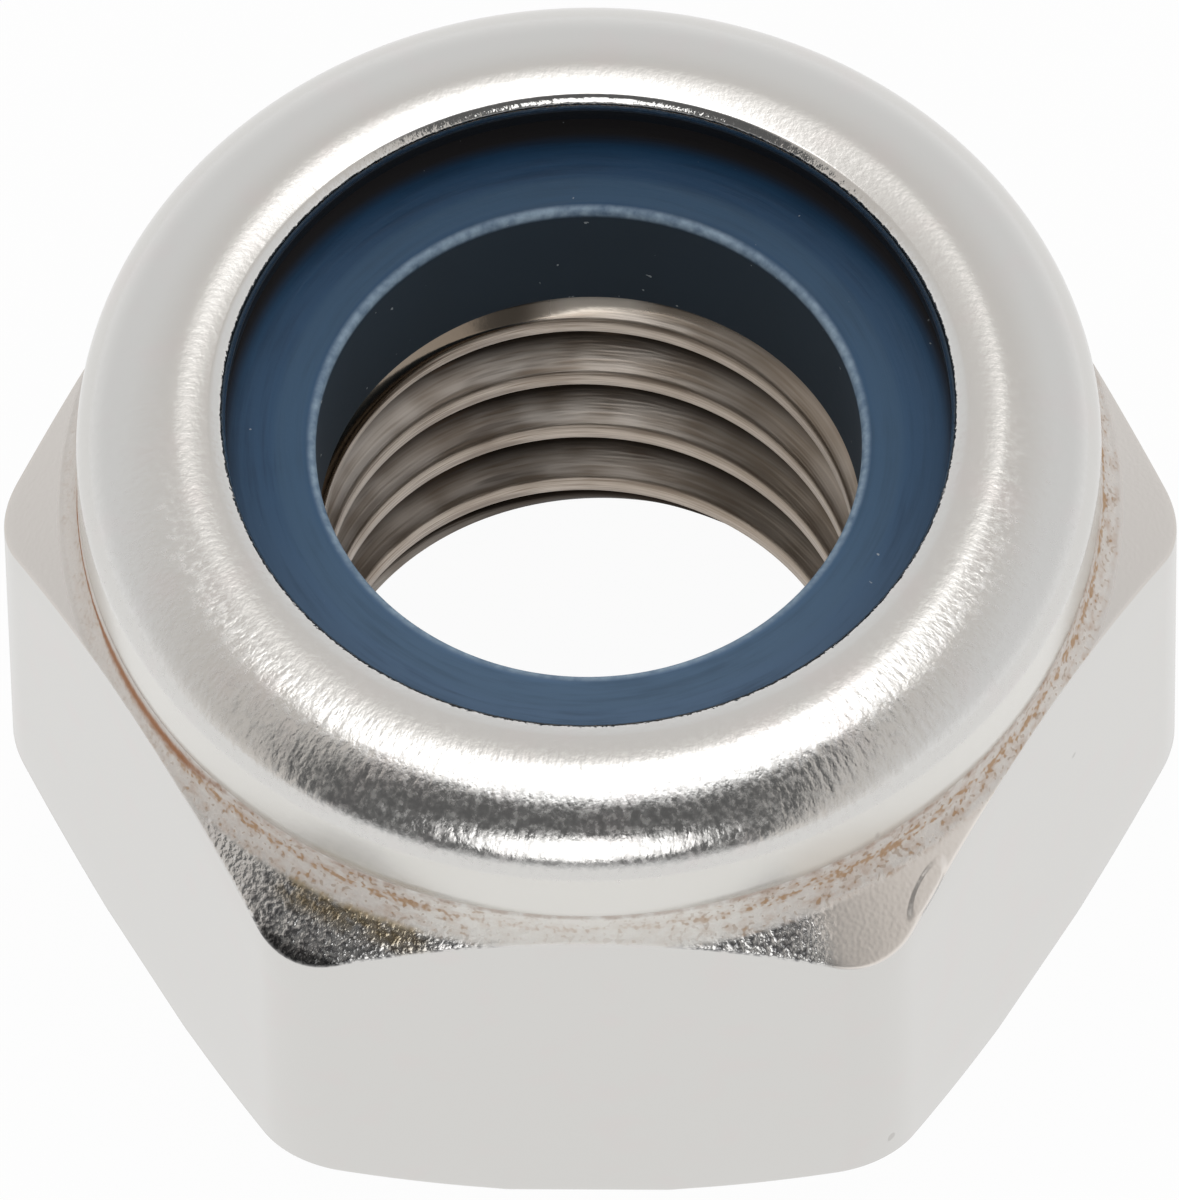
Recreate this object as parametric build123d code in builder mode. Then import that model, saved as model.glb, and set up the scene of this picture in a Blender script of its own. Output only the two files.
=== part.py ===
import math
import os

from build123d import *
from build123d.topology import SkipClean

# Hexagon lock nut, M8 x 1.25, thin type: a steel body whose collar is rolled over a ring of
# nylon. Millimetres. The nut stands on its bearing face at z = 0, its thread rises along +Z,
# and two corners of the hexagon lie on the X axis.

# Hexagon
sides = 6
across_flats = 13.0
nut_height = 8.0
corner_rounding = 1.1
bearing_chamfer_width = 0.955  # how far in from the sharp corners the bearing face ends
bearing_chamfer_angle = 34.5  # degrees up from the bearing face
top_chamfer_angle = 37.0  # degrees down from level, towards the corners

# Collar, rolled over the nylon ring
collar_height = 2.05  # from where the top chamfer meets the middle of a flat, up to the top
collar_inset = 0.11  # how far the collar lies inside the flats
collar_wall = 0.74
shoulder_rounding = 0.5  # between the top chamfer and the collar
crimp_line_rise = 0.42  # a fine line round the foot of the collar, above the foot of its height
crimp_line_width = 0.08
crimp_line_depth = 0.04
crown_width = 1.45  # the rolled edge is an arc of an oval: its half width and its rise
crown_rise = 0.75
crown_reach = 1.81  # how far in from the collar's outside the rolled edge ends
lip_thickness = 0.28
lip_curl = 0.65  # how far the inside of the roll rises on its way to the lip

# Thread
thread_diameter = 8.0
thread_pitch = 1.25
thread_flank_angle = 60.0
thread_offset = 0.08  # height of the groove's middle above the bearing face, at +X
bearing_mouth_width = 0.45  # how far the countersink opens the bore at the bearing face
bearing_mouth_angle = 90.0
seat_mouth_width = 0.33  # and at the shelf that the nylon ring sits on
seat_mouth_angle = 90.0

# Nylon ring
seat_depth = 2.7  # from the top down to the shelf
ring_height = 2.0
ring_grip = 0.6  # how far the ring reaches in past the thread's full diameter
ring_rim_rounding = 0.16
ring_clearance = 0.02  # between the ring and the collar round it

# Worked out from the sizes above: the hexagon
flat_radius = across_flats / 2
bar_radius = flat_radius / math.cos(math.radians(180 / sides))
bearing_face_radius = bar_radius - bearing_chamfer_width
bearing_chamfer_rise = bearing_chamfer_width * math.tan(math.radians(bearing_chamfer_angle))
wrench_height = nut_height - collar_height
top_chamfer_slope = math.tan(math.radians(top_chamfer_angle))
top_chamfer_fall = (bar_radius - flat_radius) * top_chamfer_slope

# The collar
collar_radius = flat_radius - collar_inset
shoulder_height = wrench_height + collar_inset * top_chamfer_slope
crimp_line_height = wrench_height + crimp_line_rise
crown_foot = nut_height - crown_rise
crown_centre = collar_radius - crown_width
lip_radius = collar_radius - crown_reach
lip_angle = math.degrees(math.acos((lip_radius - crown_centre) / crown_width))
lip_underside = crown_foot + crown_rise * math.sin(math.radians(lip_angle)) - lip_thickness
cavity_radius = collar_radius - collar_wall
cavity_top = lip_underside - lip_curl
seat_height = nut_height - seat_depth

# The thread, in its standard form: the crest's flat is a quarter of the pitch, the root's an eighth
half_turn_rise = thread_pitch / 2
crest_width = thread_pitch / 4
root_width = thread_pitch / 8
flank_slope = math.tan(math.radians(thread_flank_angle / 2))
thread_depth = (thread_pitch - crest_width - root_width) / 2 / flank_slope
thread_overrun = thread_depth / 4
half_mouth = (thread_pitch - crest_width) / 2 + thread_overrun * flank_slope
half_root = root_width / 2
thread_radius = thread_diameter / 2
minor_radius = thread_radius - thread_depth
bearing_mouth_radius = minor_radius + bearing_mouth_width
bearing_mouth_depth = bearing_mouth_width / math.tan(math.radians(bearing_mouth_angle / 2))
seat_mouth_radius = minor_radius + seat_mouth_width
seat_mouth_depth = seat_mouth_width / math.tan(math.radians(seat_mouth_angle / 2))
first_half_turn = math.floor((-half_mouth - thread_offset) / half_turn_rise)
last_half_turn = math.ceil((seat_height + half_mouth - thread_offset) / half_turn_rise)

# The ring
ring_radius = cavity_radius - ring_clearance
ring_bore_radius = thread_radius - ring_grip
ring_width = ring_radius - ring_bore_radius
ring_top = seat_height + ring_height

# Half a turn of the thread's groove. Its flanks run on past the bore wall into the hole, so that
# no face of it lies in that wall.
with BuildPart() as groove:
    with BuildLine() as groove_path:
        Helix(thread_pitch, half_turn_rise, minor_radius)
    with BuildSketch(Plane(groove_path.line @ 0, x_dir=(1, 0, 0), z_dir=groove_path.line % 0)):
        Polygon(
            (-thread_overrun, half_mouth),
            (thread_depth, half_root),
            (thread_depth, -half_root),
            (-thread_overrun, -half_mouth),
            align=None,
        )
    sweep(path=groove_path.line, is_frenet=True)

with BuildSketch(Plane.XZ) as turned_section:
    with BuildLine():
        Polyline(
            (bearing_mouth_radius, 0),
            (bearing_face_radius, 0),
            (bar_radius, bearing_chamfer_rise),
            (bar_radius, wrench_height - top_chamfer_fall),
            (collar_radius, shoulder_height),
            (collar_radius, crown_foot),
        )
        crown = EllipticalCenterArc(
            (crown_centre, crown_foot), crown_width, crown_rise, arc_size=lip_angle
        )
        Polyline(
            crown @ 1,
            (lip_radius, lip_underside),
            (cavity_radius, cavity_top),
            (cavity_radius, seat_height),
            (seat_mouth_radius, seat_height),
            (minor_radius, seat_height - seat_mouth_depth),
            (minor_radius, bearing_mouth_depth),
            (bearing_mouth_radius, 0),
        )
    make_face()
    shoulder = turned_section.vertices().sort_by_distance((collar_radius, shoulder_height))[0]
    fillet(shoulder, shoulder_rounding)
    with Locations((collar_radius, crimp_line_height)):
        Polygon(
            (-crimp_line_depth, 0),
            (crimp_line_depth, -crimp_line_width),
            (crimp_line_depth, crimp_line_width),
            align=None,
            mode=Mode.SUBTRACT,
        )

# The body is turned in quarters, and its faces aren't joined up again across the seams, so that no
# face of the thread's crest runs round for more than a quarter of a turn.
seams = (45, 135, 225, 315)  # degrees from +X
with SkipClean(), BuildPart() as nut_body:
    for seam in seams:
        section = turned_section.sketch.rotate(Axis.Z, seam)
        revolve(section, axis=Axis.Z, revolution_arc=360 / len(seams))
    with BuildSketch() as hexagon:
        RegularPolygon(flat_radius, sides, major_radius=False)
        fillet(hexagon.vertices(), corner_rounding)
    extrude(amount=nut_height, mode=Mode.INTERSECT)
    for half_turn in range(first_half_turn, last_half_turn):
        groove_height = thread_offset + half_turn * half_turn_rise
        with Locations(Location((0, 0, groove_height), (0, 0, half_turn * 180))):
            add(groove.part, mode=Mode.SUBTRACT)

with BuildPart() as nylon_ring:
    with BuildSketch(Plane.XZ) as ring_section:
        # the space inside the roll, less the clearance
        Polygon(
            (0, seat_height),
            (ring_radius, seat_height),
            (ring_radius, cavity_top - ring_clearance),
            (lip_radius, lip_underside - ring_clearance),
            (0, lip_underside - ring_clearance),
            align=None,
        )
        # what the ring fills of it
        with Locations((ring_bore_radius, seat_height)):
            Rectangle(ring_width, ring_height, align=Align.MIN, mode=Mode.INTERSECT)
        rim = ring_section.vertices().sort_by_distance((ring_bore_radius, ring_top))[0]
        fillet(rim, ring_rim_rounding)
    revolve(axis=Axis.Z)

nut_body.part.label = "nut_body"
nylon_ring.part.label = "nylon_ring"

os.makedirs("parts", exist_ok=True)
export_step(nut_body.part, "parts/nut_body.step")
export_step(nylon_ring.part, "parts/nylon_ring.step")
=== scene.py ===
import math

import bpy
import numpy as np
from mathutils import Matrix, Vector


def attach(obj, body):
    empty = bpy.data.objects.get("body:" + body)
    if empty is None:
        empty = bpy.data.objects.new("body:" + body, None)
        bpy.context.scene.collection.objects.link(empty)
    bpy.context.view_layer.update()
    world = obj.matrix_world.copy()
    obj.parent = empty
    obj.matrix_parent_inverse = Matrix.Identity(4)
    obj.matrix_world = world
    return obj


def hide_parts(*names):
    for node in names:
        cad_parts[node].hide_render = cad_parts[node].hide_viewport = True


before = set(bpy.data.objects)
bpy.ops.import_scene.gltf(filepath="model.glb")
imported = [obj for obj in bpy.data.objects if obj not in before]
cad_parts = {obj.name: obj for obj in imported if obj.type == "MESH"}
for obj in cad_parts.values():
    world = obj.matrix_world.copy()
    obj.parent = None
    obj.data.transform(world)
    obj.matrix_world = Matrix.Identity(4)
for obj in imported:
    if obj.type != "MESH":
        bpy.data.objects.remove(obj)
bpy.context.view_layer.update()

MM = 0.001  # metres in a millimetre; every size below is in millimetres, and every angle in degrees

# The hexagon and its chamfers
HALF_SIDE = 30  # from a corner to the middle of a flat
CORNER_REACH = 6  # either side of a corner, columns are closer together
SIDE_COLUMNS, CORNER_COLUMNS = 36, 28
FLAT_RADIUS = 6.5
CORNER_ROUNDING = 1.1
WRENCH_HEIGHT = 5.95
TOP_CHAMFER_SLOPE = math.tan(math.radians(37.0))
BEARING_FACE_RADIUS = 6.5506
BEARING_CHAMFER_SLOPE = math.tan(math.radians(34.5))
LEAST_CHAMFER_WIDTH = 0.03  # what is left of the bearing chamfer at the middle of a flat
LEAST_CHAMFER_HEIGHT = 0.02
EDGE_ROUNDING = 0.045
CHAMFER_STEPS = 10

# The collar, rolled inwards over the ring
COLLAR_RADIUS = 6.39
SHOULDER_HEIGHT = 6.033
SHOULDER_ROUNDING = 0.5
CRIMP_HEIGHT = 6.37
CRIMP_WIDTH = 0.08
CRIMP_DEPTH = 0.025
CROWN_FOOT = 7.25
CROWN_TOP = 8.0
CROWN_TOP_RADIUS = 5.12
LIP_RADIUS = 4.52
LIP_FALL = 0.04
LIP_UNDERSIDE = 7.6965
LIP_ROUNDING = 0.1
LIP_UNDER_ROUNDING = 0.03
CROWN_STEPS = 24
LIP_STEPS = 4
EDGE_STEPS = 6
CAVITY_RADIUS = 5.65
CAVITY_TOP = 7.0465

# The seat of the ring, and the thread below it
SEAT_HEIGHT = 5.3
SEAT_MOUTH_RADIUS = 3.6534
BEARING_MOUTH_RADIUS = 3.7734
THREAD_PITCH = 1.25
THREAD_OFFSET = 0.08
MINOR_RADIUS = 3.3234
MAJOR_RADIUS = 4.0
CREST_HALF = THREAD_PITCH / 8
FLANK_SLOPE = 1 / math.tan(math.radians(30))
THREAD_WEAR = 0.02  # how far its corners are worn round
HIGHEST_TURN, LOWEST_TURN = 4, -2
# A turn of the thread is drawn with these points either side of the middle of its crest
THREAD_POINTS = (-0.575, -0.53, -0.48, -0.38, -0.27, -0.18, -0.135, 0,
                 0.135, 0.18, 0.27, 0.38, 0.48, 0.53, 0.575)

# The nylon ring
RING_RADIUS = 5.63
RING_BORE_RADIUS = 3.4
RING_TOP = 7.3
RING_CROWN = 0.05  # how far the roll has pressed down the outside of its top
RING_CROWN_WIDTH = 0.4
RING_RIM = 0.12
RING_EDGE = 0.03
RING_COLUMN = 0.75  # the angle between its columns

# The camera: a long lens, high in front, turned and rolled a little
CAMERA_AZIMUTH, CAMERA_ELEVATION, CAMERA_ROLL = 1.406, 58.013, -0.99
CAMERA_DISTANCE = 418.377
CAMERA_LENS, CAMERA_SENSOR = 1000, 36
CAMERA_NEAREST, CAMERA_FURTHEST = 50, 5000
AIM_RIGHT, AIM_HEIGHT = -0.025, 3.577

# The room: how far its softbox stands from the nut, and where the floor ends
SOFTBOX_DISTANCE = 400
FLOOR_HALF_WIDTH, FLOOR_FRONT = 600, -70


def softer(first, second, width):
    """The larger of two values, with the corner between them rounded over about this width."""
    return (first + second + np.sqrt((first - second) ** 2 + width**2)) / 2


def points(radius, height, like):
    """One point of a section at each column, from numbers or from one value for each column."""
    return np.stack([np.broadcast_to(radius, like.shape), np.broadcast_to(height, like.shape)], -1)


def straight(start, end, steps):
    """The points between two of a section, without its ends."""
    return [start + (end - start) * step / steps for step in range(1, steps)]


def towards(corner, other, rounding):
    """The point where a rounding of this reach starts, on the way from a corner to another."""
    reach = np.linalg.norm(other - corner, axis=-1, keepdims=True)
    return corner + (other - corner) * np.minimum(rounding / reach, 0.45)


def drawn(corners):
    """A section drawn through corners. Each is a point for every column, the reach of its rounding,
    and the number of steps from there to the next; its two ends are kept as they are."""
    section = [corners[0][0]]
    for place, (corner, rounding, steps) in enumerate(corners[:-1]):
        following, next_rounding, _ = corners[place + 1]
        if rounding:
            start = towards(corner, corners[place - 1][0], rounding)
            end = towards(corner, following, rounding)
            for along in (0.25, 0.5, 0.75):
                arc = start * (1 - along) ** 2 + corner * 2 * along * (1 - along) + end * along**2
                section.append(arc)
            section.append(end)
        target = towards(following, corner, next_rounding) if next_rounding else following
        section += [*straight(section[-1], target, steps), target]
    return section


def hexagon_radius(angles):
    """How far the hexagon's side is from the axis, at these angles from a corner."""
    away = np.radians(np.abs((angles + HALF_SIDE) % (2 * HALF_SIDE) - HALF_SIDE))
    half_side = math.radians(HALF_SIDE)
    corner_centre = (FLAT_RADIUS - CORNER_ROUNDING) / math.cos(half_side)
    inside = np.maximum(CORNER_ROUNDING**2 - (corner_centre * np.sin(away)) ** 2, 0)
    rounded = corner_centre * np.cos(away) + np.sqrt(inside)
    flat = FLAT_RADIUS / np.cos(half_side - away)
    # the rounding starts this far in from the sharp corner
    start = CORNER_ROUNDING * math.tan(half_side) * math.sin(half_side)
    tangent = math.atan2(CORNER_ROUNDING / 2, FLAT_RADIUS / math.cos(half_side) - start)
    return np.where(away < tangent, rounded, flat)


def hexagon_columns():
    """The angles of the columns: closer together at each rounded corner."""
    stretches = [
        (-HALF_SIDE, -CORNER_REACH, SIDE_COLUMNS),
        (-CORNER_REACH, CORNER_REACH, CORNER_COLUMNS),
        (CORNER_REACH, HALF_SIDE, SIDE_COLUMNS),
    ]
    sixth = np.concatenate(
        [np.linspace(start, end, columns, endpoint=False) for start, end, columns in stretches]
    )
    return np.concatenate([sixth + 2 * HALF_SIDE * side for side in range(6)])


def thread_radius(angles, heights):
    """How far the thread's surface is from the axis."""
    crest = THREAD_OFFSET + THREAD_PITCH * (0.5 + angles / 360)
    from_crest = np.abs((heights - crest + THREAD_PITCH / 2) % THREAD_PITCH - THREAD_PITCH / 2)
    flank = MINOR_RADIUS + (from_crest - CREST_HALF) * FLANK_SLOPE
    groove = softer(flank, MINOR_RADIUS, THREAD_WEAR)
    return -softer(-groove, -MAJOR_RADIUS, THREAD_WEAR)


def bore_radius(angles, heights):
    """The thread, opened out by the mouths at its two ends."""
    bearing_mouth = BEARING_MOUTH_RADIUS - heights
    seat_mouth = SEAT_MOUTH_RADIUS - (SEAT_HEIGHT - heights)
    mouths = np.maximum(bearing_mouth, seat_mouth)
    return softer(thread_radius(angles, heights), mouths, THREAD_WEAR)


def top_of_chamfer(radii):
    """The height of the top chamfer and of the hollow where it runs up into the collar."""
    cone = WRENCH_HEIGHT - (radii - FLAT_RADIUS) * TOP_CHAMFER_SLOPE
    slope = math.atan(TOP_CHAMFER_SLOPE)
    reach = SHOULDER_ROUNDING * math.tan((math.pi / 2 - slope) / 2)
    hollow_end = COLLAR_RADIUS + reach * math.cos(slope)
    from_centre = np.minimum(COLLAR_RADIUS + SHOULDER_ROUNDING - radii, SHOULDER_ROUNDING)
    fall = np.sqrt(np.maximum(SHOULDER_ROUNDING**2 - from_centre**2, 0))
    hollow = SHOULDER_HEIGHT + reach - fall
    return np.where(radii > hollow_end, cone, hollow)


def roll_section():
    """The crown, rolled over and down a little to the lip, and round the lip's edge."""
    section = []
    for turn in np.radians(np.linspace(0, 90, CROWN_STEPS)):
        radius = CROWN_TOP_RADIUS + (COLLAR_RADIUS - CROWN_TOP_RADIUS) * math.cos(turn)
        rise = (CROWN_TOP - CROWN_FOOT) * math.sin(turn)
        section.append((radius, CROWN_FOOT + rise))
    edge_centre = LIP_RADIUS + LIP_ROUNDING
    for radius in np.linspace(CROWN_TOP_RADIUS, edge_centre, LIP_STEPS + 1)[1:]:
        share = (CROWN_TOP_RADIUS - radius) / (CROWN_TOP_RADIUS - LIP_RADIUS)
        lip_top = CROWN_TOP - LIP_FALL * share**2
        section.append((radius, lip_top))
    for turn in np.radians(np.linspace(15, 90, EDGE_STEPS)):
        radius = edge_centre - LIP_ROUNDING * math.sin(turn)
        section.append((radius, lip_top - LIP_ROUNDING * (1 - math.cos(turn))))
    return section


def outer_sections(angles):
    """The section from the bore's lower mouth round the outside and the roll to its upper mouth."""
    side = hexagon_radius(angles)
    bearing_edge = np.minimum(BEARING_FACE_RADIUS, side - LEAST_CHAMFER_WIDTH)
    foot = (side - BEARING_FACE_RADIUS) * BEARING_CHAMFER_SLOPE
    foot = np.maximum(foot, LEAST_CHAMFER_HEIGHT)
    corners = [
        (points(bore_radius(angles, 0.0), 0, angles), 0, 5),
        (points(bearing_edge, 0, angles), EDGE_ROUNDING, 3),
        (points(side, foot, angles), EDGE_ROUNDING, 8),
        (points(side, top_of_chamfer(side), angles), EDGE_ROUNDING, 1),
    ]
    # the chamfer, drawn closer together where it turns up into the collar
    for step in range(1, CHAMFER_STEPS + 1):
        radii = COLLAR_RADIUS + (side - COLLAR_RADIUS) * (1 - step / CHAMFER_STEPS) ** 1.5
        corners.append((points(radii, top_of_chamfer(radii), angles), 0, 1))
    # the crimp line, a groove in the collar
    for rise, depth in ((-0.6, 0), (-0.5, 0.1), (-0.1, 1), (0.1, 1), (0.5, 0.1), (0.6, 0)):
        groove = COLLAR_RADIUS - depth * CRIMP_DEPTH
        corners.append((points(groove, CRIMP_HEIGHT + rise * CRIMP_WIDTH, angles), 0, 1))
    # the collar's plain wall has more steps
    corners[-1] = (*corners[-1][:2], 5)
    corners += [(points(radius, height, angles), 0, 1) for radius, height in roll_section()]
    corners += [
        (points(LIP_RADIUS, LIP_UNDERSIDE, angles), LIP_UNDER_ROUNDING, 4),
        (points(CAVITY_RADIUS, CAVITY_TOP, angles), 0, 2),
        (points(CAVITY_RADIUS, SEAT_HEIGHT, angles), 0, 2),
        (points(bore_radius(angles, SEAT_HEIGHT), SEAT_HEIGHT, angles), 0, 0),
    ]
    return np.stack(drawn(corners), 1)


def bore_sections(angles):
    """The section down the thread, whose points climb a pitch in each turn of the nut."""
    section = []
    for turn in range(HIGHEST_TURN, LOWEST_TURN - 1, -1):
        for point in reversed(THREAD_POINTS):
            height = THREAD_OFFSET + THREAD_PITCH * (turn + 0.5 + angles / 360) + point
            height = np.clip(height, 0, SEAT_HEIGHT)
            section.append(points(bore_radius(angles, height), height, angles))
    return np.stack(section, 1)


def placed(angles, sections):
    """The sections' points in space, in metres."""
    turned = np.radians(angles)[:, None]
    radius, height = sections[..., 0] * MM, sections[..., 1] * MM
    return np.stack([radius * np.cos(turned), radius * np.sin(turned), height], -1)


def turned_piece(name, places, wrap_shift, first_shifted):
    """A closed mesh from one closed section for each column. From first_shifted on, the last column
    joins points of the first that lie wrap_shift earlier in its section."""
    columns, count = places.shape[:2]
    here = np.arange(count)
    ahead = np.where(here < first_shifted, here, np.maximum(here - wrap_shift, first_shifted))
    quads = []
    for column in range(columns):
        following = (column + 1) % columns
        match = ahead if following == 0 else here
        left, right = column * count + here, following * count + match
        quads.append(np.stack([left, right, np.roll(right, -1), np.roll(left, -1)], 1))
    mesh = bpy.data.meshes.new(name)
    mesh.from_pydata(places.reshape(-1, 3).tolist(), [], np.concatenate(quads).tolist())
    piece = bpy.data.objects.new(name, mesh)
    bpy.context.collection.objects.link(piece)
    joined = piece.modifiers.new("joined", "WELD")
    joined.merge_threshold = 1e-8
    mesh.shade_smooth()
    normals = piece.modifiers.new("even_normals", "WEIGHTED_NORMAL")
    normals.mode = "FACE_AREA"
    return piece


def make_nut():
    """The nut: hexagon, collar rolled over the ring, and the thread's turns."""
    angles = hexagon_columns()
    outside, bore = outer_sections(angles), bore_sections(angles)
    places = placed(angles, np.concatenate([outside, bore], 1))
    return turned_piece("nut", places, len(THREAD_POINTS), outside.shape[1])


def make_ring():
    """The nylon ring, turned all over, with a rounded rim at its bore."""
    angles = np.arange(0, 360, RING_COLUMN)
    half_way = SEAT_HEIGHT + 1  # the section starts and ends here, in the bore's wall
    corners = [
        (RING_BORE_RADIUS, half_way, 0, 10),
        (RING_BORE_RADIUS, SEAT_HEIGHT, RING_EDGE, 8),
        (RING_RADIUS, SEAT_HEIGHT, RING_EDGE, 8),
        (RING_RADIUS, CAVITY_TOP - 0.02, RING_EDGE, 3),
        (RING_RADIUS - RING_CROWN_WIDTH, RING_TOP - RING_CROWN, RING_EDGE, 16),
        (RING_BORE_RADIUS, RING_TOP, RING_RIM, 8),
        (RING_BORE_RADIUS, half_way, 0, 0),
    ]
    corners = [(points(radius, height, angles), *rest) for radius, height, *rest in corners]
    places = placed(angles, np.stack(drawn(corners)[:-1], 1))
    return turned_piece("nylon_insert", places, 0, places.shape[1])


class Value:
    """A number or a vector that varies over a surface. Arithmetic on it adds the nodes."""

    def __init__(self, finish, socket):
        self.finish, self.socket = finish, socket

    def __add__(self, other):
        return self.finish.maths("ADD", self, other)

    def __sub__(self, other):
        return self.finish.maths("SUBTRACT", self, other)

    def __rsub__(self, other):
        return self.finish.maths("SUBTRACT", other, self)

    def __mul__(self, other):
        return self.finish.maths("MULTIPLY", self, other)

    def __truediv__(self, other):
        return self.finish.maths("DIVIDE", self, other)

    __radd__, __rmul__ = __add__, __mul__


class Finish:
    """The nodes of a surface's finish, or of the room's light."""

    def __init__(self, owner):
        self.tree = owner.node_tree
        self.tree.nodes.clear()

    def node(self, kind, settings=(), values=(), output=0):
        """Adds a node: its settings first, then the values or links of its sockets."""
        made = self.tree.nodes.new(kind)
        for name, setting in dict(settings).items():
            setattr(made, name, setting)
        for name, value in dict(values).items():
            if isinstance(value, Value):
                self.tree.links.new(value.socket, made.inputs[name])
            else:
                made.inputs[name].default_value = value
        return Value(self, made.outputs[output]) if made.outputs else None

    def maths(self, operation, *values):
        return self.node("ShaderNodeMath", {"operation": operation}, enumerate(values))

    def above(self, value, low, high):
        """0 where the value is under low and 1 over high, with a soft step between."""
        settings = {"interpolation_type": "SMOOTHSTEP"}
        sockets = {"Value": value, "From Min": low, "From Max": high}
        return self.node("ShaderNodeMapRange", settings, sockets)

    def below(self, value, low, high):
        """1 where the value is under low and 0 over high, with a soft step between."""
        return 1 - self.above(value, low, high)

    def within(self, value, start, whole, fading, end):
        """1 between whole and fading, and 0 under start and over end."""
        return self.above(value, start, whole) * self.below(value, fading, end)

    def mixed(self, share, first, second):
        """A colour between two others."""
        return self.node("ShaderNodeMix", {"data_type": "RGBA"}, {0: share, 6: first, 7: second}, 2)

    def layered(self, paint, *layers):
        """A colour with others laid over it, each with the share of it that it covers."""
        for share, cover in layers:
            paint = self.mixed(share, paint, cover)
        return paint

    def vector(self, operation, *values, output="Vector", **named):
        sockets = {**dict(enumerate(values)), **named}
        return self.node("ShaderNodeVectorMath", {"operation": operation}, sockets, output)

    def dot(self, first, second):
        return self.vector("DOT_PRODUCT", first, second, output="Value")

    def point(self, x, y, z):
        """A place from its three coordinates."""
        return self.node("ShaderNodeCombineXYZ", {}, {"X": x, "Y": y, "Z": z})


def colour(red, green, blue):
    """A colour written as it looks on a screen, from 0 to 255."""
    def linear(part):
        part /= 255
        return part / 12.92 if part <= 0.04045 else ((part + 0.055) / 1.055) ** 2.4

    return (linear(red), linear(green), linear(blue), 1)


class Surface(Finish):
    """A finish with the places that its marks are drawn by, all in millimetres."""

    def __init__(self, name):
        self.material = bpy.data.materials.new(name)
        self.material.use_nodes = True
        super().__init__(self.material)
        place = self.node("ShaderNodeTexCoord", output="Object")
        self.place = self.vector("SCALE", place, Scale=1 / MM)
        self.x, self.y, self.z = (
            self.node("ShaderNodeSeparateXYZ", {}, {"Vector": self.place}, axis) for axis in "XYZ"
        )
        self.radius = self.maths("SQRT", self.x * self.x + self.y * self.y)
        # up the section from the hexagon to the lip, and round the nut in degrees
        self.along = self.z - self.radius
        self.azimuth = self.maths("ARCTAN2", self.x, 0 - self.y) * (180 / math.pi)

    def rolled(self, stretch):
        """Places for marks that run up the section: longer along it than round it by this much."""
        return self.point(
            self.x / self.radius * COLLAR_RADIUS,
            self.y / self.radius * COLLAR_RADIUS,
            self.along / stretch,
        )

    def grain(self, places, per_mm, detail=2.0, roughness=0.5):
        """Noise with this many grains in a millimetre, around nought and mostly within a half."""
        sockets = {"Vector": places, "Scale": per_mm, "Detail": detail, "Roughness": roughness}
        return (self.node("ShaderNodeTexNoise", {}, sockets) - 0.5) * 1.6

    def relief(self, height):
        """The surface's normal with this relief, in millimetres."""
        return self.node("ShaderNodeBump", {}, {"Height": height, "Distance": MM, "Strength": 1.0})

    def finished(self, shader):
        self.node("ShaderNodeOutputMaterial", {}, {"Surface": shader})
        return self.material


# The steel's colours, as light: red, green, blue and a full alpha
PLATING = (0.665, 0.655, 0.635, 1)
BLUSHED_PLATING = (0.675, 0.64, 0.625, 1)
# the collar's plating, paler to paint a brighter reflection of the floor
COLLAR_PLATING_AND_SHEEN = (0.75, 0.735, 0.70, 1)
SIDE_CHAMFER_PLATING = (0.63, 0.595, 0.56, 1)
SMEARED_PLATING = (0.80, 0.75, 0.70, 1)
# a dark reflection painted on the front chamfers, black where it reaches their tips
CHAMFER_DARK_REFLECTION = (0.15, 0.15, 0.155, 1)
TIP_BLACK_REFLECTION = (0.035, 0.035, 0.035, 1)
FRONT_CRUST = (0.86, 0.84, 0.80, 1)
SIDE_CRUST = (0.71, 0.67, 0.63, 1)
# painted shade under the lip
UNDER_LIP_SHADE = (0.05, 0.05, 0.05, 1)
PIT = (0.3, 0.27, 0.25, 1)
DULL_FLANK, BRIGHT_FLANK = (0.34, 0.275, 0.22, 1), (0.78, 0.715, 0.65, 1)
DULL_CREST, BRIGHT_CREST = (0.22, 0.17, 0.13, 1), (0.52, 0.44, 0.365, 1)
WARM_FLANK = (0.46, 0.38, 0.30, 1)
# painted shade deep in the thread's groove
GROOVE_SHADE = (0.022, 0.015, 0.010, 1)
GRIME = (0.13, 0.09, 0.065, 1)
DULL_MOUTH, BRIGHT_MOUTH = (0.30, 0.25, 0.20, 1), (0.60, 0.50, 0.40, 1)
# a painted gleam at the back of the bore's mouth
PAINTED_MOUTH_GLEAM = (1.0, 0.90, 0.78, 1)

# The residue's colours, some of them as they look on a screen
TAN_STAIN = colour(196, 166, 142)
PALE_CRUMB = (0.95, 0.90, 0.84, 1)
BROWN_DOT = colour(156, 128, 100)
OCHRE_SPOT = colour(184, 146, 104)
GILT = colour(172, 152, 112)
FRONT_LINE, LEFT_LINE = colour(150, 112, 86), colour(160, 108, 66)

# Where marks lie round the nut, by azimuth: they start at the first angle, are whole from the
# second to the third, and have ended by the fourth
LEFT_ARC = (-98, -86, -52, -42)
FRONT_LEFT_ARC = (-60, -45, -22, -8)
FRONT_RIGHT_ARC = (6, 22, 110, 130)
# the painted dark reflection on the front chamfers, and its black tips
DARK_REFLECTION_ARC = (-39, -35, 23, 25)
TIP_REFLECTION_ARC = (-39, -37, 27, 29)
GILT_ARC = (-36, -32, -20, -15)
SMEAR_ARC = (24, 27, 50, 60)

# The radii between which the painted dark reflection turns black at the chamfers' tips and the gilt
# fades, and the height where residue gathers in a second line
TIP_REFLECTION_RADII = (7.10, 7.24)
GILT_FADES = (6.72, 6.95)
SECOND_LINE_HEIGHT = 6.13

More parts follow.
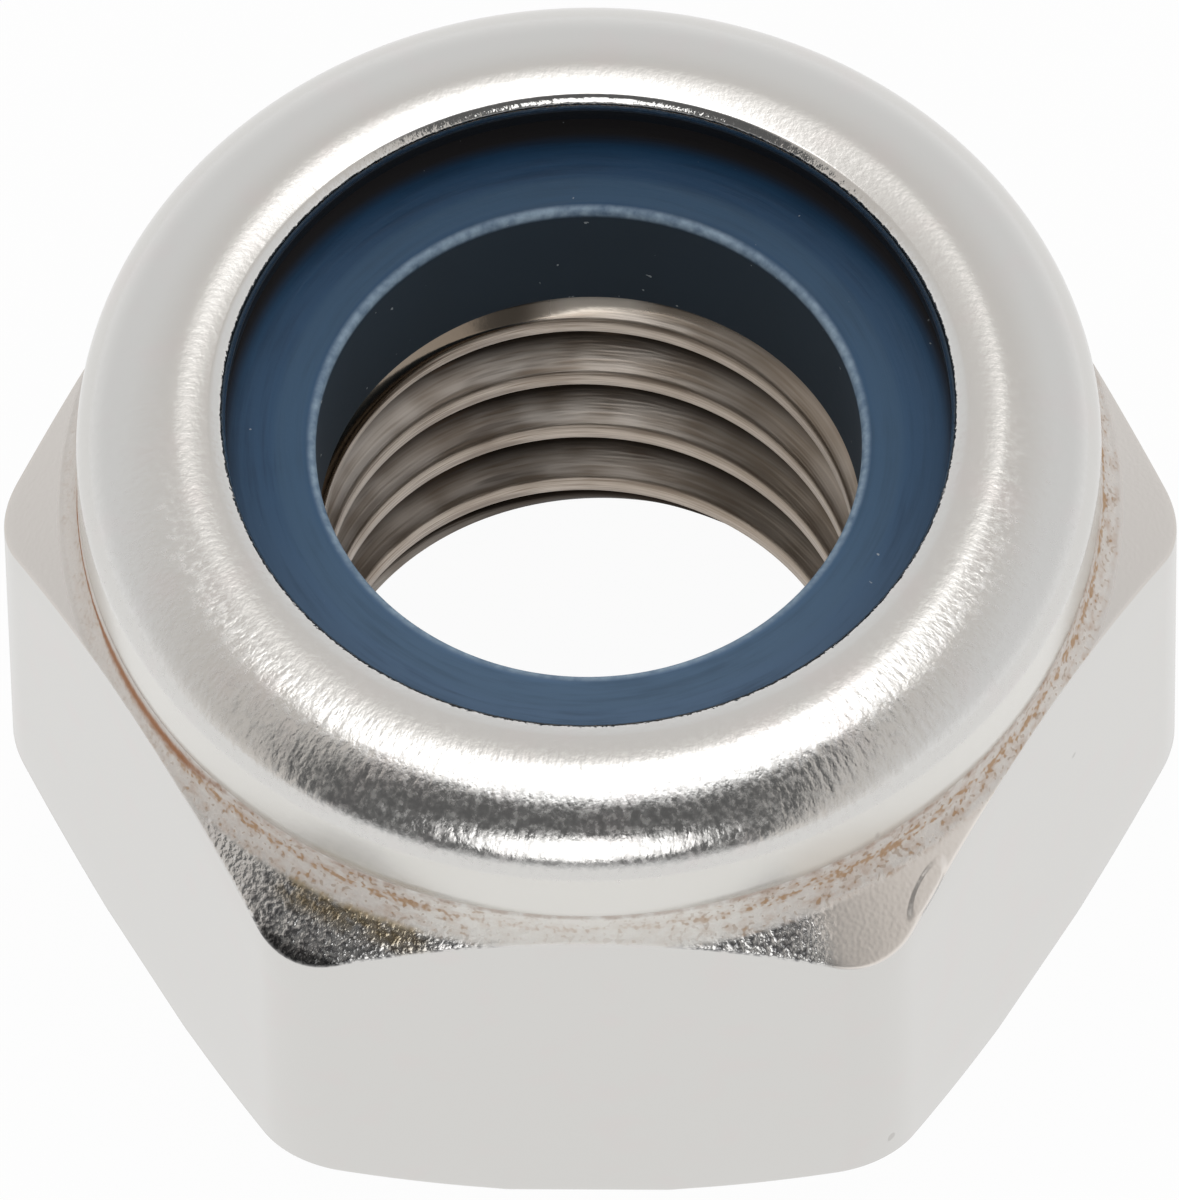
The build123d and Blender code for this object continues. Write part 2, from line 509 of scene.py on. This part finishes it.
# A smear of plating on the front right chamfer, three times as long as wide
PAD_CENTRE = (4.24, -5.48, 5.62)
PAD_LENGTHWISE = (-0.442, -0.842, -0.306)
PAD_NARROWING = 0.89  # the share of a squared distance along it that is left out
PAD_HALF_WIDTH = 0.15
PAD_HEIGHT = 0.018


class Steel(Surface):
    """The plated steel's surface: where its parts and its residue lie, and the grain of each."""

    def __init__(self):
        super().__init__("plated_steel_finish")
        self.find_outside()
        self.find_inside()
        self.make_grains()
        self.find_residue()

    def find_outside(self):
        """Where each part of the outside starts and ends."""
        radius, y, z = self.radius, self.y, self.z
        above_edge = z - (WRENCH_HEIGHT - (radius - FLAT_RADIUS) * TOP_CHAMFER_SLOPE)
        under_edge = (radius - BEARING_FACE_RADIUS) * BEARING_CHAMFER_SLOPE - z
        self.outside = self.above(radius, CAVITY_RADIUS, CAVITY_RADIUS + 0.05)
        top_chamfer = self.above(above_edge, -0.05, -0.01)
        self.top_chamfer = top_chamfer * self.above(radius, FLAT_RADIUS + 0.05, FLAT_RADIUS + 0.12)
        bearing_chamfer = self.above(under_edge, -0.06, 0.0)
        self.chamfer = self.maths("MAXIMUM", self.top_chamfer, bearing_chamfer)
        # the corner under the collar, where residue gathers
        shoulder = self.outside * self.above(above_edge, -0.04, 0.02)
        shoulder = shoulder * self.below(radius, FLAT_RADIUS + 0.08, FLAT_RADIUS + 0.16)
        self.shoulder = shoulder * self.below(z, CRIMP_HEIGHT - 0.04, CRIMP_HEIGHT + 0.01)
        collar = self.above(z, CRIMP_HEIGHT + 0.01, CRIMP_HEIGHT + 0.05)
        self.collar = collar * self.below(z, CROWN_FOOT - 0.05, CROWN_FOOT + 0.05)
        crown = self.above(z, CROWN_FOOT - 0.1, CROWN_FOOT + 0.15)
        self.crown = crown * self.above(radius, LIP_RADIUS - 0.12, LIP_RADIUS - 0.02)
        # the roll's grain is stronger in front than at the back
        grained = self.crown * (1.0 - self.above(y, -3.5, 2.5) * 0.75)
        rolled_over = self.above(radius, CROWN_TOP_RADIUS + 0.03, CROWN_TOP_RADIUS + 0.38)
        self.grained_crown = grained * (0.25 + rolled_over * 0.75)
        self.smear = self.top_chamfer * self.within(self.azimuth, *SMEAR_ARC)

    def find_inside(self):
        """Where the lip's underside, the bore and the thread start and end."""
        radius, x, y, z = self.radius, self.x, self.y, self.z
        bore = self.below(radius, MAJOR_RADIUS + 0.1, MAJOR_RADIUS + 0.2)
        self.bore = bore * self.below(z, SEAT_HEIGHT - 0.1, SEAT_HEIGHT)
        thread = self.bore * self.below(z, SEAT_HEIGHT - 0.38, SEAT_HEIGHT - 0.3)
        self.thread = thread * self.above(z, 0.0, 0.02)
        # the lip's underside painted dark as shade, starting higher up its edge behind the hole
        behind = self.above(y, -1.0, 2.0)
        self.behind = behind * self.below(radius, LIP_RADIUS + 0.18, LIP_RADIUS + 0.38)
        shaded_under_lip = (1 - self.outside) * self.above(z, SEAT_HEIGHT + 0.1, SEAT_HEIGHT + 0.2)
        edge = z - self.behind * 0.08
        self.shaded_under_lip = shaded_under_lip * self.below(edge, CROWN_TOP - 0.2, CROWN_TOP - 0.14)
        # a painted gleam on the bore's mouth at the back, above the thread
        gleam = self.within(x, -0.9, -0.2, 0.4, 1.0) * self.above(y, 0.0, 1.0)
        self.gleam = gleam * self.bore * (1 - self.thread)

    def make_grains(self):
        """The grains that marks are made of, from coarse to fine, and those that run one way."""
        self.oil = self.grain(self.place, 1.4, 1, 0.6)
        self.clots = self.grain(self.place, 4.4, 2, 0.7)
        self.specks = self.grain(self.place, 11, 2, 0.6)
        self.fine = self.grain(self.place, 18, 0)
        # specks strung out round the nut, just over twice as long as wide
        round_nut = self.azimuth * (COLLAR_RADIUS * math.pi / 180 / 2.2)
        self.strung = self.grain(self.point(round_nut, self.radius, self.z), 11, 2, 0.6)
        # fine lines that run along the turns of the thread
        climb = (self.z - THREAD_OFFSET) / THREAD_PITCH * (2 * math.pi)
        turn = climb - self.maths("ARCTAN2", self.y, self.x)
        across = [self.maths(wave, turn) * 1.6 for wave in ("COSINE", "SINE")]
        self.lines = self.grain(self.point(*across, self.x * 0.3), 2.2, 2, 0.8)

    def find_residue(self):
        """Where brown residue lies: a line at the collar's foot, and the corner below it."""
        azimuth, z = self.azimuth, self.z
        self.left = self.within(azimuth, *LEFT_ARC)
        front_right = self.within(azimuth, *FRONT_RIGHT_ARC)
        # the line is lower at the left, and widens there on its way to the front
        drift = self.maths("ABSOLUTE", z - CRIMP_HEIGHT + self.left * 0.17 + self.specks * 0.03)
        widening = self.left * self.above(azimuth, -74, -66)
        line = self.below(drift, 0.015, 0.055 + widening * 0.095)
        line = line * self.above(self.radius, COLLAR_RADIUS - 0.19, COLLAR_RADIUS - 0.09)
        patchy = self.maths("MAXIMUM", self.above(self.clots, -0.4, 0.2), self.left)
        self.line = line * patchy * (0.4 + self.left * 0.55 + front_right * 0.1)
        front_left = self.within(azimuth, *FRONT_LEFT_ARC)
        self.dirty = self.shoulder * (0.25 + front_left * 0.65 + front_right * 0.65)
        # it gathers in a second line, half way down the corner
        second_line = self.maths("ABSOLUTE", z - SECOND_LINE_HEIGHT + self.clots * 0.06)
        gathered = self.below(second_line, 0.02, 0.10)
        stain = self.clots + self.strung * 0.7 + gathered * 0.2
        self.stain = self.above(stain, -0.2, 0.4) * self.dirty
        spots = self.strung * 0.8 + self.fine * 0.5 + self.clots * 0.5
        spots = spots + gathered * 0.35 + self.dirty * 0.15
        self.spots = self.above(spots, 0.34, 0.62) * self.dirty
        gilt = self.top_chamfer * self.below(self.radius, *GILT_FADES)
        self.gilt = gilt * self.within(azimuth, *GILT_ARC) * self.above(self.clots, -0.35, 0.1)

    def outside_colour(self):
        """Plating, a painted dark reflection on the front chamfers that turns black at their tips,
        the collar's plating with a painted brighter reflection, and crust under the collar.
        """
        aside = self.maths("ABSOLUTE", self.azimuth)
        # a dark reflection painted on the front chamfers, grainy, and black near their tips
        dark_reflection = self.top_chamfer * self.above(self.specks + self.fine * 0.5, -0.2, 0.3)
        dark_reflection = dark_reflection * self.within(self.azimuth, *DARK_REFLECTION_ARC)
        tip_reflection = self.top_chamfer * self.above(self.radius + self.specks * 0.12, *TIP_REFLECTION_RADII)
        tip_reflection = tip_reflection * self.within(self.azimuth, *TIP_REFLECTION_ARC)
        crust = self.mixed(self.above(aside, 12, 26), FRONT_CRUST, SIDE_CRUST)
        return self.layered(
            PLATING,
            (self.above(self.oil, 0.0, 0.4) * 0.5, BLUSHED_PLATING),
            # the collar: its plating, with a painted brighter reflection
            (self.collar, COLLAR_PLATING_AND_SHEEN),
            (dark_reflection * 0.85, CHAMFER_DARK_REFLECTION),
            (tip_reflection * 0.85, TIP_BLACK_REFLECTION),
            (self.shoulder, crust),
            (self.smear, SMEARED_PLATING),
            (self.top_chamfer * self.above(aside, 60, 75), SIDE_CHAMFER_PLATING),
        )

    def thread_colour(self):
        """Flanks and darker crests, lined along the turns, with painted shade deep in the groove.
        """
        crest = self.below(self.radius, MINOR_RADIUS + 0.01, MINOR_RADIUS + 0.04)
        depth = self.radius + self.lines * 0.06
        flank = self.above(self.oil * 0.7 + self.lines, -0.4, 0.4)
        crest_colour = self.mixed(self.above(self.lines, -0.25, 0.25), DULL_CREST, BRIGHT_CREST)
        return self.layered(
            DULL_FLANK,
            (flank, BRIGHT_FLANK),
            (crest * 0.7, crest_colour),
            (self.above(self.x, -1.5, 2.5) * 0.5, WARM_FLANK),
            # painted shade deep in the groove, away from the crests
            (self.above(depth, MINOR_RADIUS + 0.16, MINOR_RADIUS + 0.44), GROOVE_SHADE),
            (self.above(self.lines - self.oil * 0.4, 0.15, 0.45) * 0.6, GRIME),
        )

    def residue_over(self, paint):
        """The residue's stains, crumbs, dots and spots, its line, and small pits outside."""
        crumbs = self.above(self.fine - self.clots * 0.3, 0.15, 0.35) * self.dirty
        dots = self.above(self.fine + self.clots * 0.5, 0.22, 0.34) * self.dirty
        pits = self.above(self.grain(self.place, 2.6, 1), 0.50, 0.54) * self.outside
        return self.layered(
            paint,
            (self.stain * 0.45, TAN_STAIN),
            (crumbs * 0.2, PALE_CRUMB),
            (dots * 0.5, BROWN_DOT),
            (self.spots * 0.8, OCHRE_SPOT),
            (self.gilt * 0.65, GILT),
            (self.line, self.mixed(self.left, FRONT_LINE, LEFT_LINE)),
            (pits * 0.3, PIT),
        )

    def colour_all_over(self):
        """The colours outside, painted shade under the lip, and the bore's colours with a painted
        gleam, with the residue over them.
        """
        mouth = self.mixed(self.above(self.x, -1.0, -0.5), DULL_MOUTH, BRIGHT_MOUTH)
        paint = self.layered(
            self.outside_colour(),
            (self.shaded_under_lip, UNDER_LIP_SHADE),
            (self.bore, self.mixed(self.gleam, mouth, PAINTED_MOUTH_GLEAM)),
            (self.thread, self.thread_colour()),
        )
        return self.residue_over(paint)

    def height(self):
        """How high the surface's grain, its beaded lip and its smear stand, in millimetres."""
        x, y, radius = self.x, self.y, self.radius
        streaks = self.grain(self.rolled(4.0), 8, 1)
        fuzz = self.grain(self.rolled(2.0), 16, 1, 0.6)
        ahead = 1 - self.above(y, -4.5, -2.8) * 0.7
        rolled = streaks * ahead * 0.0032 + fuzz * 0.0018 + self.specks * 0.0012
        rough = self.top_chamfer * self.within(x, -4.9, -4.5, 2.9, 3.2)
        lip = self.below(radius, LIP_RADIUS + 0.1, LIP_RADIUS + 0.2)
        lip = lip * self.above(self.z, CROWN_TOP - 0.24, CROWN_TOP - 0.2)
        # the surface falls away towards the lip's edge, and more so behind the hole
        bend = self.maths("MAXIMUM", LIP_RADIUS + 0.23 - radius, 0) * self.crown
        height = self.grained_crown * rolled - bend * bend * (0.8 + self.behind * 2.4)
        height = height + self.fine * (self.chamfer * 0.0015 + rough * 0.0035)
        height = height + self.specks * ((rough + lip) * 0.009 + self.shoulder * 0.016 + 0.0005)
        return height + self.thread * self.lines * 0.006 + self.pad() * PAD_HEIGHT

    def pad(self):
        """Where the smear of plating on the front right chamfer is."""
        from_pad = self.vector("SUBTRACT", self.place, PAD_CENTRE)
        lengthwise = self.dot(from_pad, PAD_LENGTHWISE)
        away = self.dot(from_pad, from_pad) - lengthwise * lengthwise * PAD_NARROWING
        return self.below(self.maths("SQRT", away) / PAD_HALF_WIDTH, 0.7, 1.1)

    def roughness(self):
        """Smooth where it is rolled, satin on the flats, dull in the corner and the thread."""
        frosted = self.above(self.specks, -0.3, 0.45)
        flats = (1 - self.crown) * (1 - self.chamfer) * self.outside
        worn = self.grained_crown * frosted * 0.2 + self.chamfer * 0.10 + flats * 0.12
        dull = self.shoulder * 0.35 + self.thread * 0.28 + self.stain * 0.2
        return 0.14 + worn + dull + self.smear * 0.08 + self.shaded_under_lip * 0.4

    def metallic(self):
        """Bare metal, but for what covers it and where it is dull, and less so on the collar and at
        the bore's gleam, where a brighter reflection is painted.
        """
        covered = self.maths("MAXIMUM", self.shoulder * 0.55, self.spots * 0.8)
        return 1 - covered - self.collar * 0.25 - self.thread * 0.15 - self.gleam * 0.5


def steel_finish():
    """Bright plating: satin on the flats, rolled smooth on the crown, grainy on the chamfers with a
    painted dark reflection in front, dull and oily in the thread with painted shade deep in its
    groove, and brown residue in the corner under the collar."""
    steel = Steel()
    shader = steel.node("ShaderNodeBsdfPrincipled", {}, {
        "Base Color": steel.colour_all_over(), "Roughness": steel.roughness(),
        "Metallic": steel.metallic(), "Normal": steel.relief(steel.height()),
    })
    return steel.finished(shader)


# The nylon's colours, as light; its top is painted paler in front and darker behind, as shade from
# the roll
LIT_FRONT_BLUE, HALF_SHADED_BLUE = (0.105, 0.18, 0.29, 1), (0.036, 0.09, 0.175, 1)
SHADED_BACK_BLUE = (0.018, 0.058, 0.125, 1)
GROOVE_BLUE = (0.012, 0.03, 0.06, 1)
# a paler band near the bore, painted light away from the lip's shade
PAINTED_LIGHT_BAND = (0.07, 0.13, 0.20, 1)
# painted shade on the bore's wall
SHADED_WALL_BLUE = (0.030, 0.043, 0.056, 1)
# a painted highlight on the rim
PAINTED_RIM_HIGHLIGHT = (0.30, 0.40, 0.50, 1)
# painted shadow of the lip on the ring's top
LIP_SHADOW_ON_NYLON = (0.036, 0.034, 0.036, 1)
LINT = (0.55, 0.6, 0.62, 1)


def nylon_finish():
    """Blue nylon, with fine turning lines on its top, painted shade and light on its top and bore,
    a painted highlight on its rim, and specks of lint.
    """
    nylon = Surface("blue_nylon_finish")
    radius, y, z = nylon.radius, nylon.y, nylon.z
    wall = nylon.below(radius, RING_BORE_RADIUS + 0.02, RING_BORE_RADIUS + 0.1)
    rim = nylon.above(z, RING_TOP - 0.14, RING_TOP - 0.06)
    rim = rim * nylon.below(radius, RING_BORE_RADIUS + 0.05, RING_BORE_RADIUS + 0.14)
    rings = nylon.grain(nylon.point(radius * 5, nylon.x * 0.3, y * 0.3), 2.2, 4, 0.6)
    cloud = nylon.grain(nylon.place, 0.8, 3)
    scuffs = nylon.grain(nylon.place, 9, 2)
    lint = nylon.above(nylon.grain(nylon.place, 7, 2, 0.5), 0.40, 0.44)
    # a paler band near the bore, painted light away from the lip's shade
    painted_light_band = nylon.above(radius + rings * 0.12, RING_BORE_RADIUS + 0.1, RING_BORE_RADIUS + 0.2)
    painted_light_band = painted_light_band * nylon.below(radius, RING_BORE_RADIUS + 0.45, RING_BORE_RADIUS + 0.6)
    paint = nylon.layered(
        LIT_FRONT_BLUE,
        # painted shade: the top darkens towards the back, where the roll shades it
        (nylon.above(y, -5.0, 0.0), HALF_SHADED_BLUE),
        (nylon.above(y, 0.0, 4.5), SHADED_BACK_BLUE),
        (nylon.above(cloud * 0.6 + rings, -0.15, 0.5) * 0.45, GROOVE_BLUE),
        (painted_light_band * 0.35, PAINTED_LIGHT_BAND),
        # the bore's wall painted dark as shade
        (wall * (1 - rim) * 0.9, SHADED_WALL_BLUE),
        # a painted highlight on the rim, speckled
        (rim * (0.7 + cloud * 0.5 + scuffs * 0.8), PAINTED_RIM_HIGHLIGHT),
        # painted shadow under the lip's overhang
        (nylon.above(radius, LIP_RADIUS - 0.14, LIP_RADIUS + 0.1), LIP_SHADOW_ON_NYLON),
        (lint * 0.6, LINT),
    )
    height = rings * 0.003 + nylon.grain(nylon.place, 6, 3) * 0.002
    shader = nylon.node("ShaderNodeBsdfPrincipled", {}, {
        "Base Color": paint, "Roughness": 0.36 + wall * 0.45 - rim * 0.12,
        "Specular IOR Level": 0.2, "Normal": nylon.relief(height),
    })
    return nylon.finished(shader)


def make_floor():
    """A plain white floor, which shows as white and keeps some of the nut's shadow."""
    half, front = FLOOR_HALF_WIDTH * MM, FLOOR_FRONT * MM
    mesh = bpy.data.meshes.new("floor")
    corners = [(-half, front, 0), (half, front, 0), (half, half, 0), (-half, half, 0)]
    mesh.from_pydata(corners, [], [(0, 1, 2, 3)])
    floor = bpy.data.objects.new("floor", mesh)
    bpy.context.collection.objects.link(floor)
    material = bpy.data.materials.new("white_floor")
    material.use_nodes = True
    finish = Finish(material)
    rays = [finish.node("ShaderNodeLightPath", output=name) for name in
            ("Is Camera Ray", "Is Glossy Ray", "Is Transmission Ray")]
    seen = finish.maths("MAXIMUM", finish.maths("MAXIMUM", rays[0], rays[1]), rays[2])
    matte = finish.node("ShaderNodeBsdfDiffuse", {}, {"Color": (0.9, 0.9, 0.9, 1)})
    white = finish.node("ShaderNodeEmission", {}, {"Color": (1, 1, 1, 1), "Strength": 1.0})
    surface = finish.node("ShaderNodeMixShader", {}, {0: seen * 0.96, 1: matte, 2: white})
    finish.node("ShaderNodeOutputMaterial", {}, {"Surface": surface})
    mesh.materials.append(material)


def direction(azimuth, elevation):
    """A direction from the nut: azimuth 0 is the front, -Y, and 90 is the right, +X."""
    azimuth, elevation = math.radians(azimuth), math.radians(elevation)
    flat = math.cos(elevation)
    return Vector((math.sin(azimuth) * flat, -math.cos(azimuth) * flat, math.sin(elevation)))


def make_softbox(name, azimuth, elevation, width, height, brightness):
    """A soft lamp that far round and up from the nut, with its size in millimetres."""
    lamp = bpy.data.lights.new(name, "AREA")
    lamp.shape, lamp.size, lamp.size_y = "ELLIPSE", width * MM, height * MM
    # what an ellipse of this brightness gives from its whole area
    lamp.energy = brightness * math.pi * lamp.size * lamp.size_y * math.pi / 4
    softbox = bpy.data.objects.new(name, lamp)
    towards_lamp = direction(azimuth, elevation)
    softbox.location = towards_lamp * SOFTBOX_DISTANCE * MM
    softbox.rotation_euler = towards_lamp.to_track_quat("Z", "Y").to_euler()
    softbox.visible_camera = False
    bpy.context.collection.objects.link(softbox)


def dark_wedge(room, place):
    """The dark part of the room, in front and overhead, and a wider, softer part round it."""
    # how far a direction is past each side of the wedge, whose point is just behind overhead
    left = room.dot(place, direction(33.99, 15.72))
    right = room.dot(place, direction(-60.47, 14.6))
    wedge = room.above(left, 0.05, 0.12) * room.above(right, -0.08, 0.01)
    beside = room.above(left, -0.6, 0) * room.above(right, -0.6, 0)
    return wedge, beside


def overhead_lamp(room, place):
    """A bright ellipse with soft edges, just behind overhead and narrower towards the back."""
    across = room.dot(place, direction(90, 0)) - 0.02
    upwards = room.dot(place, direction(0, 16))
    across = across / (room.above(upwards, -0.22, 0.04) * 0.19 + 0.085)
    away = room.maths("SQRT", across * across + upwards * upwards / 0.078)
    # the same ellipse would also lie in the opposite part of the room
    towards_lamp = room.dot(place, direction(180, 74))
    return room.below(away, 0.66, 1.16) * room.above(towards_lamp, 0.0, 0.1)


def light_the_room():
    """A pale room with a dark wedge and a soft lamp overhead, and a softbox in front. The room
    itself shows as white."""
    world = bpy.data.worlds.new("studio")
    world.use_nodes = True
    bpy.context.scene.world = world
    room = Finish(world)
    place = room.node("ShaderNodeTexCoord", output="Generated")
    z = room.node("ShaderNodeSeparateXYZ", {}, {"Vector": place}, "Z")
    wedge, beside = dark_wedge(room, place)
    glow = overhead_lamp(room, place)
    dark = wedge * room.above(z, -0.08, 0.2)
    pale = 1.08 - room.above(z, -0.15, 0.45) * 0.21
    light = pale * (1 - beside * 0.22) * (1 - dark * 0.81) + glow * 2.2
    seen = room.node("ShaderNodeLightPath", output="Is Camera Ray")
    strength = seen + (1 - seen) * light
    warm = beside * (1 - wedge) * (1 - glow) * (1 - seen)
    tint = room.mixed(warm, (0.985, 0.99, 1, 1), (1, 0.955, 0.91, 1))
    background = room.node("ShaderNodeBackground", {}, {"Color": tint, "Strength": strength})
    room.node("ShaderNodeOutputWorld", {}, {"Surface": background})
    make_softbox(
        "front_softbox", azimuth=-1.5, elevation=34, width=270, height=290, brightness=1.9
    )


def place_camera():
    """A long lens, high in front, turned and rolled a little."""
    lens = bpy.data.cameras.new("camera")
    lens.lens, lens.sensor_width, lens.sensor_fit = CAMERA_LENS, CAMERA_SENSOR, "AUTO"
    lens.clip_start, lens.clip_end = CAMERA_NEAREST * MM, CAMERA_FURTHEST * MM
    back = direction(CAMERA_AZIMUTH, CAMERA_ELEVATION)
    right = direction(CAMERA_AZIMUTH + 90, 0)
    up = back.cross(right)
    roll = math.radians(CAMERA_ROLL)
    across = right * math.cos(roll) + up * math.sin(roll)
    upwards = up * math.cos(roll) - right * math.sin(roll)
    aim = right * AIM_RIGHT * MM + Vector((0, 0, AIM_HEIGHT * MM))
    camera = bpy.data.objects.new("camera", lens)
    turn = Matrix((across, upwards, back)).transposed().to_4x4()
    camera.matrix_world = Matrix.Translation(aim + back * CAMERA_DISTANCE * MM) @ turn
    bpy.context.collection.objects.link(camera)
    bpy.context.scene.camera = camera


nut = make_nut()
nut.data.materials.append(steel_finish())
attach(nut, "root")
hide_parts("nut_body")

ring = make_ring()
ring.data.materials.append(nylon_finish())
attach(ring, "root")
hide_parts("nylon_ring")

make_floor()
light_the_room()
place_camera()
bpy.context.scene.view_settings.view_transform = "Standard"
